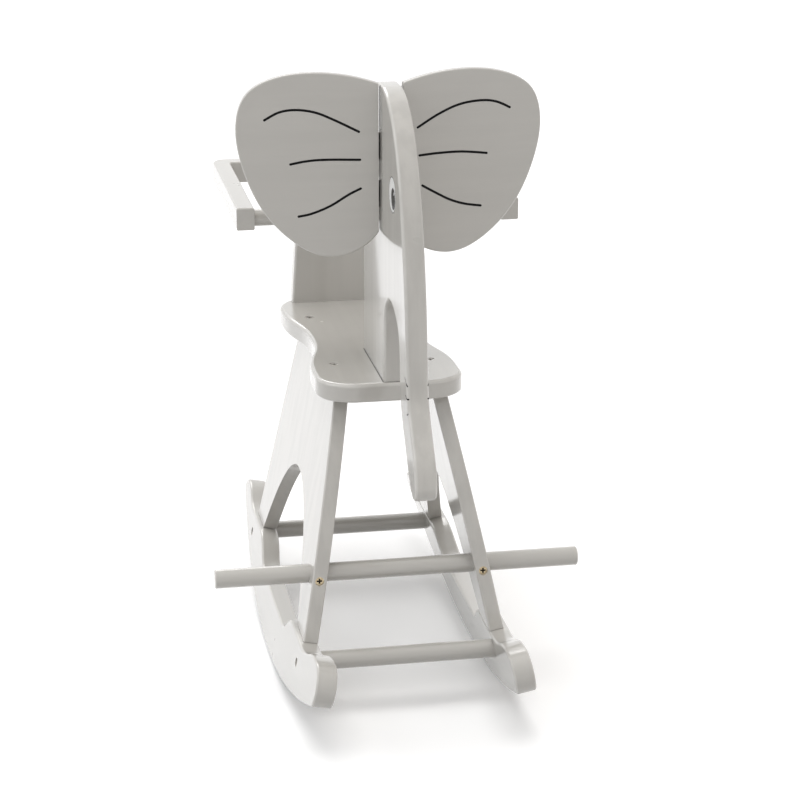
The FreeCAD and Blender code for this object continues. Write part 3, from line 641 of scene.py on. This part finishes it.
@dataclass
class PrintedLineTree:
    """The node tree that lays a round-ended printed line on a board along each row of guide points."""

    width: float = 2.0 * MM
    rise: float = INK_RISE
    spacing: float = 0.35 * MM
    profile_points: int = 14
    smooth_steps: int = 24
    tip_share: float = 0.12

    def build(self) -> bpy.types.NodeTree:
        """Build the tree.

        Returns:
            The tree, whose inputs set the lines' width, rise, spacing, board and ink.
        """
        tree = bpy.data.node_groups.new("printed_lines", "GeometryNodeTree")
        face = tree.interface
        face.new_socket("Geometry", in_out="INPUT", socket_type="NodeSocketGeometry")
        for label, value in (("Width", self.width), ("Rise", self.rise), ("Spacing", self.spacing)):
            face.new_socket(label, in_out="INPUT", socket_type="NodeSocketFloat").default_value = value
        face.new_socket("Board", in_out="INPUT", socket_type="NodeSocketObject")
        face.new_socket("Ink", in_out="INPUT", socket_type="NodeSocketMaterial")
        face.new_socket("Geometry", in_out="OUTPUT", socket_type="NodeSocketGeometry")
        w = Weaver(tree)
        source = w.add("NodeGroupInput").outputs
        half = w.math("MULTIPLY", source["Width"], 0.5)
        laid = self._lay_on_board(w, source)
        line = w.add("GeometryNodeSetCurveRadius", {"Curve": laid, "Radius": self._end_share(w, half)})
        circle = w.add("GeometryNodeCurvePrimitiveCircle", {"Resolution": self.profile_points})
        oval = w.add("ShaderNodeCombineXYZ", {"X": source["Rise"], "Y": half, "Z": 1.0}).outputs[0]
        profile = w.add("GeometryNodeTransform", {"Geometry": circle.outputs[0], "Scale": oval}).outputs[0]
        radius = w.add("GeometryNodeInputRadius").outputs[0]
        solid = w.add(
            "GeometryNodeCurveToMesh",
            {"Curve": line.outputs[0], "Profile Curve": profile, "Scale": radius, "Fill Caps": True},
        )
        whole = w.add("GeometryNodeRealizeInstances", {"Geometry": solid.outputs[0]}).outputs[0]
        inked = w.add("GeometryNodeSetMaterial", {"Geometry": whole, "Material": source["Ink"]}).outputs[0]
        shaded = w.add("GeometryNodeSetShadeSmooth", {"Geometry": inked}).outputs[0]
        w.add("NodeGroupOutput", {"Geometry": shaded})
        return tree

    def _lay_on_board(self, w: Weaver, source: Any) -> bpy.types.NodeSocket:
        """Smooth the guide rows and lay them on the board, with their normals turned to the board's.

        Args:
            w: The tree's weaver.
            source: The tree's inputs.

        Returns:
            The curves' socket.
        """
        board = w.add("GeometryNodeObjectInfo", {"Object": source["Board"]}).outputs["Geometry"]
        rows = w.add("GeometryNodeMeshToCurve", {"Mesh": source["Geometry"]}).outputs[0]
        smooth = w.add("GeometryNodeCurveSplineType", {"Curve": rows}, spline_type="CATMULL_ROM").outputs[0]
        fine = w.add(
            "GeometryNodeSetSplineResolution", {"Geometry": smooth, "Resolution": self.smooth_steps}
        ).outputs[0]
        even = w.add(
            "GeometryNodeResampleCurve", {"Curve": fine, "Length": source["Spacing"]}, mode="LENGTH"
        ).outputs[0]
        near = w.add("GeometryNodeProximity", {0: board}, target_element="FACES").outputs["Position"]
        laid = w.add("GeometryNodeSetPosition", {"Geometry": even, "Position": near}).outputs[0]
        facing = w.add("GeometryNodeInputNormal").outputs[0]
        outward = w.add(
            "GeometryNodeSampleNearestSurface", {"Mesh": board, "Value": facing}, data_type="FLOAT_VECTOR"
        ).outputs["Value"]
        turned = w.add("GeometryNodeSetCurveNormal", {"Curve": laid}, mode="FREE")
        w.tree.links.new(outward, turned.inputs["Normal"])
        return turned.outputs[0]

    def _end_share(self, w: Weaver, half: bpy.types.NodeSocket) -> bpy.types.NodeSocket:
        """Add the share of the full width that a line has at a point, so that its ends are round.

        Args:
            w: The tree's weaver.
            half: Half the line's width.

        Returns:
            The share's socket.
        """
        along = w.add("GeometryNodeSplineParameter").outputs["Length"]
        whole = w.add("GeometryNodeSplineLength").outputs["Length"]
        to_end = w.math("MINIMUM", along, w.math("SUBTRACT", whole, along))
        inside = w.math("SUBTRACT", 1.0, w.math("DIVIDE", to_end, half), clamp=True)
        round_end = w.math("SQRT", w.math("SUBTRACT", 1.0, w.math("MULTIPLY", inside, inside)))
        return w.math("MAXIMUM", round_end, self.tip_share)


def mesh_object(name: str, mesh: bpy.types.Mesh) -> bpy.types.Object:
    """Put a mesh in the scene as an object at the origin.

    Args:
        name: The object's name.
        mesh: Its mesh.

    Returns:
        The object.
    """
    thing = bpy.data.objects.new(name, mesh)
    bpy.context.scene.collection.objects.link(thing)
    return thing


@dataclass
class PrintedLines:
    """Thin printed lines on a board, each along a row of guide points close to its surface."""

    name: str
    body: str
    board: bpy.types.Object
    lines: list[list[Vector]]
    width: float
    rise: float = INK_RISE

    def build(self, ink: bpy.types.Material, tree: bpy.types.NodeTree) -> bpy.types.Object:
        """Make the lines as one plain mesh in place.

        Args:
            ink: The ink's material.
            tree: The tree that lays the lines.

        Returns:
            The finished object, riding on its body.
        """
        vertices: list[Vector] = []
        edges: list[tuple[int, int]] = []
        for line in self.lines:
            start = len(vertices)
            vertices.extend(line)
            edges.extend((start + i, start + i + 1) for i in range(len(line) - 1))
        rows = bpy.data.meshes.new(self.name + "_rows")
        rows.from_pydata(vertices, edges, [])
        carrier = mesh_object(self.name + "_rows", rows)
        modifier = carrier.modifiers.new("lines", "NODES")
        modifier.node_group = tree
        values = {"Width": self.width, "Rise": self.rise, "Board": self.board, "Ink": ink}
        for socket in tree.interface.items_tree:
            if socket.in_out == "INPUT" and socket.name in values:
                modifier[socket.identifier] = values[socket.name]
        graph = bpy.context.evaluated_depsgraph_get()
        mesh = bpy.data.meshes.new_from_object(carrier.evaluated_get(graph), depsgraph=graph)
        carrier.modifiers.remove(modifier)
        bpy.data.objects.remove(carrier)
        mesh.name = self.name
        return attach(mesh_object(self.name, mesh), self.body)


@dataclass
class Ear:
    """One ear's printed creases. The face lies in front of the hinge's axis."""

    side: Side
    lines: tuple[tuple[FlatPoint, ...], ...]
    hinge: Point = (12.5 * MM, -85 * MM, 0)
    face_offset: float = 10.5 * MM
    sweep: float = EAR_SWEEP
    line_width: float = 2.3 * MM

    def _on_face(self, point: FlatPoint) -> Vector:
        """Turn a point given across and up on the right ear's face, in millimetres, into its place."""
        across, up = point
        turned = Matrix.Rotation(self.sweep, 4, "Z") @ Vector((across * MM, -self.face_offset, up * MM))
        place = Vector(self.hinge) + turned
        return Vector((self.side.value * place.x, place.y, place.z))

    def build(self, ink: bpy.types.Material, tree: bpy.types.NodeTree) -> bpy.types.Object:
        """Print the creases.

        Args:
            ink: The ink's material.
            tree: The tree that lays the lines.

        Returns:
            The finished creases.
        """
        ear = self.side.word + "_ear"
        rows = [[self._on_face(point) for point in line] for line in self.lines]
        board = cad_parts[ear + "_board"]
        return PrintedLines(ear + "_creases", ear, board, rows, self.line_width).build(ink, tree)


@dataclass
class Eye:
    """One printed eye on a flat side of the head: an outline, the white, the iris and a glint."""

    side: Side
    face_x: float = HEAD_FACE_X
    white_centre: FlatPoint = (-158.2 * MM, 494.6 * MM)
    white_radius: float = 15.8 * MM
    outline: float = 0.75 * MM
    iris_centre: FlatPoint = (-162.4 * MM, 492.2 * MM)
    iris_radius: float = 10.3 * MM
    glint_centre: FlatPoint = (-167.0 * MM, 497.2 * MM)
    glint_radius: float = 1.9 * MM
    layer: float = 0.025 * MM
    segments: int = 72
    rings: int = 5
    crown_share: float = 0.9
    rim_share: float = 0.5

    def _disc(
        self, shape: bmesh.types.BMesh, centre: FlatPoint, radius: float, rise: float, ink: int
    ) -> None:
        """Add one closed, slightly crowned disc of ink.

        Args:
            shape: The mesh that it goes into.
            centre: Its centre's y and z.
            radius: Its radius.
            rise: How far its crown stands off the face.
            ink: The number of its material.
        """

        def ring(share: float, height: float) -> list[bmesh.types.BMVert]:
            """Add one ring of points at a share of the radius and a height off the face."""
            row = []
            for step in range(self.segments):
                angle = 2 * math.pi * step / self.segments
                y = centre[0] + math.cos(angle) * radius * share
                z = centre[1] + math.sin(angle) * radius * share
                row.append(shape.verts.new((self.side.value * (self.face_x + height), y, z)))
            return row

        rows = [ring(1, -self.layer)]
        for number in range(self.rings):
            share = 1 - (number / self.rings) ** 2 * self.crown_share
            rows.append(ring(share, rise * max(math.sqrt(1 - share**4), self.rim_share)))
        faces = [shape.faces.new(rows[0]), shape.faces.new(list(reversed(rows[-1])))]
        for outer, inner in zip(rows, rows[1:]):
            for step in range(self.segments):
                after = (step + 1) % self.segments
                faces.append(shape.faces.new((outer[after], outer[step], inner[step], inner[after])))
        for face in faces:
            face.material_index = ink
            face.smooth = True

    def _inks(self, black: bpy.types.Material, effects: Effects) -> dict[str, bpy.types.Material]:
        """Mix the eye's inks.

        Args:
            black: The black ink, already mixed.
            effects: The shared effect groups.

        Returns:
            The materials of the outline, the white, the iris and the glint.
        """
        word = self.side.word
        centre = (self.side.value * self.face_x, *self.iris_centre)
        white = PadInk(f"{word}_eye_white", display_color(252, 252, 250), display_color(246, 246, 244))
        iris = IrisInk(f"{word}_iris", centre, self.iris_radius)
        glint = PadInk(f"{word}_glint", display_color(246, 246, 246), display_color(236, 236, 236))
        own = {"white": white, "iris": iris, "glint": glint}
        return {"outline": black, **{part: ink.build(effects) for part, ink in own.items()}}

    def build(self, black: bpy.types.Material, effects: Effects) -> bpy.types.Object:
        """Print the eye.

        Args:
            black: The black ink's material.
            effects: The shared effect groups.

        Returns:
            The finished eye, riding on the frame.
        """
        inks = self._inks(black, effects)
        name = self.side.word + "_eye"
        shape = bmesh.new()
        layers = (
            (self.white_centre, self.white_radius + self.outline, "outline"),
            (self.white_centre, self.white_radius, "white"),
            (self.iris_centre, self.iris_radius, "iris"),
            (self.glint_centre, self.glint_radius, "glint"),
        )
        for number, (centre, radius, _) in enumerate(layers):
            self._disc(shape, centre, radius, self.layer * (2 * number + 1), number)
        bmesh.ops.recalc_face_normals(shape, faces=shape.faces)
        mesh = bpy.data.meshes.new(name)
        shape.to_mesh(mesh)
        shape.free()
        for _, _, ink in layers:
            mesh.materials.append(inks[ink])
        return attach(mesh_object(name, mesh), "frame")


@dataclass
class TrunkCreases:
    """Three short printed creases that run round the front corner of one side of the trunk."""

    side: Side
    line_width: float = 1.5 * MM
    lines: tuple[tuple[Point, ...], ...] = (
        ((10.0, -220.8, 343.2), (10.0, -225.0, 341.6), (9.8, -228.8, 339.2), (8.8, -231.0, 337.0)),
        ((10.0, -224.2, 327.6), (10.0, -228.8, 326.6), (9.8, -232.8, 326.0), (8.8, -235.0, 326.8)),
        ((10.0, -230.8, 311.2), (10.0, -234.6, 312.2), (9.9, -238.0, 314.4)),
    )

    def build(self, ink: bpy.types.Material, tree: bpy.types.NodeTree) -> bpy.types.Object:
        """Print the creases.

        Args:
            ink: The ink's material.
            tree: The tree that lays the lines.

        Returns:
            The finished creases.
        """
        rows = [[Vector((self.side.value * x, y, z)) * MM for x, y, z in line] for line in self.lines]
        name = self.side.word + "_trunk_creases"
        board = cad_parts["head_panel"]
        return PrintedLines(name, "frame", board, rows, self.line_width).build(ink, tree)


@dataclass
class JointShade:
    """Painted shade in a joint between two boards: a dark line laid on one of them along a row of corners in
    millimetres.
    """

    name: str
    board: str
    corners: tuple[Point, ...]
    line_width: float

    def build(self, ink: bpy.types.Material, tree: bpy.types.NodeTree) -> bpy.types.Object:
        """Lay the painted joint shade on its board.

        Args:
            ink: The dark material of the painted shade.
            tree: The tree that lays the lines.

        Returns:
            The finished joint.
        """
        places = [Vector(corner) * MM for corner in self.corners]
        rows = [[start, start.lerp(end, 0.5), end] for start, end in zip(places, places[1:])]
        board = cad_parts[self.board]
        return PrintedLines(self.name, "frame", board, rows, self.line_width).build(ink, tree)


# Places of the painted joint shade, across, along and up, in millimetres. The ear's joint is the right one
NECK_FOOT = ((-10.3, 3.4, 304.9), (-10.3, -111.3, 304.9), (10.3, -111.3, 304.9), (10.3, 3.4, 304.9))
NECK_FOOT_WIDTH = 0.9 * MM
EAR_JOINT = ((10.0, -91.6, 447.0), (10.0, -91.6, 583.0))
EAR_JOINT_WIDTH = 4.8 * MM


# The dressed frame


@dataclass
class PaintedFrame:
    """Which finish each node of the frame has, and how its wood lies."""

    lean: float = math.radians(11)
    ear_sweep: float = EAR_SWEEP
    along: float = 3.5
    across: float = 75.0
    strong_grain: float = 0.10
    # How deep a recess of the footrest screws gets painted shade in its colour
    painted_shade_reach: float = 3 * MM

    def _scale(self, axis: str) -> Point:
        """Return the grain's stretch for wood that runs along an axis."""
        return tuple(self.along if letter == axis else self.across for letter in "xyz")

    def finishes(self) -> dict[str, Finish]:
        """List the finish of each node.

        Returns:
            The finish for each node's name.
        """
        zinc = PlatedSteel("zinc_plate", display_color(222, 220, 216), display_color(200, 197, 193))
        yellow = PlatedSteel(
            "yellow_plate",
            display_color(205, 190, 160),
            display_color(172, 155, 128),
            gloss=0.30,
            painted_shade_reach=self.painted_shade_reach,
        )
        seat = PaintedWood("paint_on_seat", (0, 0, 1), self._scale("y"), gloss=0.24, coat_gloss=0.04)
        flat_rails = PaintedWood("paint_on_ring", (0, 0, 1), self._scale("y"))
        head = PaintedWood("paint_on_head", (1, 0, 0), self._scale("z"), grain=self.strong_grain)
        back = PaintedWood("paint_on_backrest", (0, 1, 0), self._scale("z"))
        dowel = PaintedWood("paint_on_dowels", (1, 0, 0), self._scale("x"))
        chosen: dict[str, Finish] = {
            "seat_board": seat,
            "guard_ring": flat_rails,
            "head_panel": head,
            "backrest_board": back,
            "foot_pins": BareBeech("bare_beech", self._scale("z")),
        }
        for bar in ("footrest_bar", "front_crossbar", "rear_crossbar", "handle_bar"):
            chosen[bar] = dowel
        for joined in ("crossbar", "seat", "neck", "backrest", "ring"):
            chosen[joined + "_screws"] = zinc
        chosen["footrest_screws"] = yellow
        for side in Side:
            sign, word = side.value, side.word
            leaned = (math.cos(self.lean), 0, sign * math.sin(self.lean))
            swept = (-sign * math.sin(self.ear_sweep), math.cos(self.ear_sweep), 0)
            rocker = PaintedWood(f"paint_on_{word}_rocker", leaned, self._scale("y"))
            leg = PaintedWood(f"paint_on_{word}_leg", leaned, self._scale("z"), grain=self.strong_grain)
            ear = PaintedWood(f"paint_on_{word}_ear", swept, self._scale("x"))
            chosen.update({f"{word}_rocker": rocker, f"{word}_leg_panel": leg, f"{word}_ear_board": ear})
            chosen[f"{word}_hinge_pins"] = zinc
            for leaf in ("head", "ear"):
                chosen[f"{word}_{leaf}_hinge_leaves"] = zinc
                chosen[f"{word}_{leaf}_hinge_screws"] = zinc
        return chosen

    def dress(self, effects: Effects) -> None:
        """Give every node its material.

        Args:
            effects: The shared effect groups.
        """
        built: dict[str, bpy.types.Material] = {}
        for name, finish in self.finishes().items():
            if finish.name not in built:
                built[finish.name] = finish.build(effects)
            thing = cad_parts[name]
            thing.data.materials.clear()
            thing.data.materials.append(built[finish.name])
            LOG.info("%s: %s", name, finish.name)


# Studio


@dataclass(frozen=True)
class SoftLamp:
    """One soft lamp, as far away as a sun.

    Attributes:
        name: The lamp's name.
        travel: The direction in which its light travels.
        level: How much it adds to a white surface that faces it.
        spread: How wide it looks, in degrees.
        tint: Its colour.
        glossy: Whether it shows in glossy surfaces.
    """

    name: str
    travel: Point
    level: float
    spread: float
    tint: Color
    glossy: bool

    def hang(self) -> None:
        """Put the lamp in the scene."""
        lamp = bpy.data.lights.new(self.name, "SUN")
        lamp.energy = self.level * math.pi
        lamp.angle = math.radians(self.spread)
        lamp.color = self.tint
        thing = bpy.data.objects.new(self.name, lamp)
        thing.rotation_euler = Vector(self.travel).to_track_quat("-Z", "Y").to_euler()
        thing.visible_glossy = self.glossy
        bpy.context.scene.collection.objects.link(thing)


@dataclass
class Studio:
    """The floor, the light and the camera at the photograph's viewing angle."""

    camera_place: Point = (-0.36936, -2.20663, 0.96540)
    camera_turn: float = 0.176985
    camera_dip: float = 0.308670
    camera_lens: float = 106.96
    sensor_width: float = 36
    nearest: float = 0.05
    farthest: float = 60
    floor_half: float = 14.0
    floor_tint: Color = (0.50, 0.50, 0.50)
    floor_seen: Color = (1.0, 1.0, 1.0)
    floor_lift: float = 0.10
    sky: float = 0.62
    sky_span: Span = (-0.8, 0.8)
    cool_sky: Color = (0.975, 0.995, 1.03)
    warm_sky: Color = (1.02, 0.985, 0.95)
    white: Color = (1.0, 1.0, 1.0)
    lamps: tuple[SoftLamp, ...] = (
        SoftLamp("top_lamp", (0.10, 0.15, -1.0), 0.34, 40, (1.0, 0.99, 0.975), False),
        SoftLamp("back_lamp", (0.15, -1.0, -0.80), 0.20, 30, (1.0, 0.995, 0.985), True),
        SoftLamp("side_lamp", (1.0, 0.05, -0.70), 0.14, 40, (0.97, 0.985, 1.0), True),
    )

    @staticmethod
    def _seen_rays(w: Weaver) -> bpy.types.NodeSocket:
        """Add the mask of what the camera sees, straight or in gloss or glass."""
        path = w.add("ShaderNodeLightPath").outputs
        direct = w.math("MAXIMUM", path["Is Camera Ray"], path["Is Glossy Ray"])
        return w.math("MAXIMUM", direct, path["Is Transmission Ray"])

    def _floor(self) -> None:
        """Lay the pale floor, which is seen white and keeps the shadow."""
        mesh = bpy.data.meshes.new("floor")
        half = self.floor_half
        corners = [(-half, -half, 0), (half, -half, 0), (half, half, 0), (-half, half, 0)]
        mesh.from_pydata(corners, [], [range(len(corners))])
        floor = mesh_object("floor", mesh)
        material = bpy.data.materials.new("pale_floor")
        material.use_nodes = True
        tree = material.node_tree
        tree.nodes.clear()
        w = Weaver(tree)
        seen = self._seen_rays(w)
        tint = w.mix(seen, self.floor_tint, self.floor_seen)
        matt = w.add("ShaderNodeBsdfDiffuse", {"Color": tint})
        lift = w.add("ShaderNodeEmission", {"Strength": w.math("MULTIPLY", seen, self.floor_lift)})
        both = w.add("ShaderNodeAddShader", {0: matt.outputs[0], 1: lift.outputs[0]})
        w.add("ShaderNodeOutputMaterial", {"Surface": both.outputs[0]})
        mesh.materials.append(material)
        floor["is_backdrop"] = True

    def _sky(self) -> None:
        """Light the object evenly from all round, and show the background white."""
        world = bpy.data.worlds.new("studio")
        bpy.context.scene.world = world
        world.use_nodes = True
        tree = world.node_tree
        tree.nodes.clear()
        w = Weaver(tree)
        seen = self._seen_rays(w)
        strength = w.math("MULTIPLY_ADD", seen, 1.0 - self.sky, self.sky)
        across = w.add("ShaderNodeSeparateXYZ", {0: w.add("ShaderNodeTexCoord").outputs["Generated"]})
        lit = w.mix(w.ramp(across.outputs["X"], self.sky_span), self.cool_sky, self.warm_sky)
        tint = w.mix(seen, lit, self.white)
        shade = w.add("ShaderNodeBackground", {"Color": tint, "Strength": strength})
        w.add("ShaderNodeOutputWorld", {"Surface": shade.outputs[0]})

    def _camera(self) -> None:
        """Set the camera where the photograph was taken from."""
        lens = bpy.data.cameras.new("camera")
        lens.lens = self.camera_lens
        lens.sensor_width = self.sensor_width
        lens.clip_start, lens.clip_end = self.nearest, self.farthest
        thing = bpy.data.objects.new("camera", lens)
        level = math.cos(self.camera_dip)
        turn = self.camera_turn
        ahead = Vector((math.sin(turn) * level, math.cos(turn) * level, -math.sin(self.camera_dip)))
        thing.location = self.camera_place
        thing.rotation_euler = ahead.to_track_quat("-Z", "Y").to_euler()
        bpy.context.scene.collection.objects.link(thing)
        bpy.context.scene.camera = thing

    def build(self) -> None:
        """Set up the whole studio."""
        bpy.context.scene.view_settings.view_transform = "Standard"
        self._floor()
        self._sky()
        for lamp in self.lamps:
            lamp.hang()
        self._camera()


# The ears' creases, each a row of points across from the hinge and up from the floor, in millimetres
RIGHT_CREASES = (
    ((10.8, 541.6), (31.5, 553.9), (50.9, 561.9), (70.4, 564.7), (85.8, 563.1), (100.1, 556.6)),
    ((12.4, 516.0), (31.7, 517.5), (54.0, 517.8), (78.6, 515.2)),
    ((15.3, 488.3), (29.0, 480.4), (43.1, 473.0), (57.3, 468.4), (73.3, 465.8)),
)
LEFT_CREASES = (
    ((15.5, 539.5), (38.6, 551.1), (56.5, 558.6), (74.3, 561.3), (89.5, 559.3), (103.7, 551.9)),
    ((14.4, 514.0), (46.6, 514.8), (64.7, 513.8), (80.7, 511.0)),
    ((14.0, 487.7), (26.3, 481.7), (43.1, 471.6), (60.1, 464.8), (73.7, 462.1)),
)


def main() -> None:
    """Dress the frame, print the marks, lay the painted joint shade and set up the studio."""
    logging.basicConfig(level=logging.INFO, format="%(name)s: %(message)s")
    cad_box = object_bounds()
    effects = Effects()
    PaintedFrame().dress(effects)
    black = PadInk("black_ink", display_color(8, 8, 9), display_color(18, 18, 19), shine=0.10).build(effects)
    tree = PrintedLineTree().build()
    for side, lines in ((Side.RIGHT, RIGHT_CREASES), (Side.LEFT, LEFT_CREASES)):
        ear = Ear(side, lines).build(black, tree)
        eye = Eye(side).build(black, effects)
        trunk = TrunkCreases(side).build(black, tree)
        for mark in (ear, eye, trunk):
            LOG.info("%s: %d faces", mark.name, len(mark.data.polygons))
    # Painted shade: dark lines where the neck stands on the seat and in the narrow gap between each ear and
    # the head
    joint_shade_ink = PadInk("seam_shade", display_color(58, 56, 53), display_color(72, 70, 66)).build(effects)
    JointShade("neck_seam", "seat_board", NECK_FOOT, NECK_FOOT_WIDTH).build(joint_shade_ink, tree)
    for side in Side:
        corners = tuple((side.value * x, y, z) for x, y, z in EAR_JOINT)
        JointShade(side.word + "_ear_seam", "head_panel", corners, EAR_JOINT_WIDTH).build(joint_shade_ink, tree)
    Studio().build()
    boxes = {"cad": cad_box, "visual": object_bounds()}
    {name: [list(corner) for corner in box] for name, box in boxes.items()}
    LOG.info("boxes: %s", boxes)


if __name__ == "__main__":
    main()
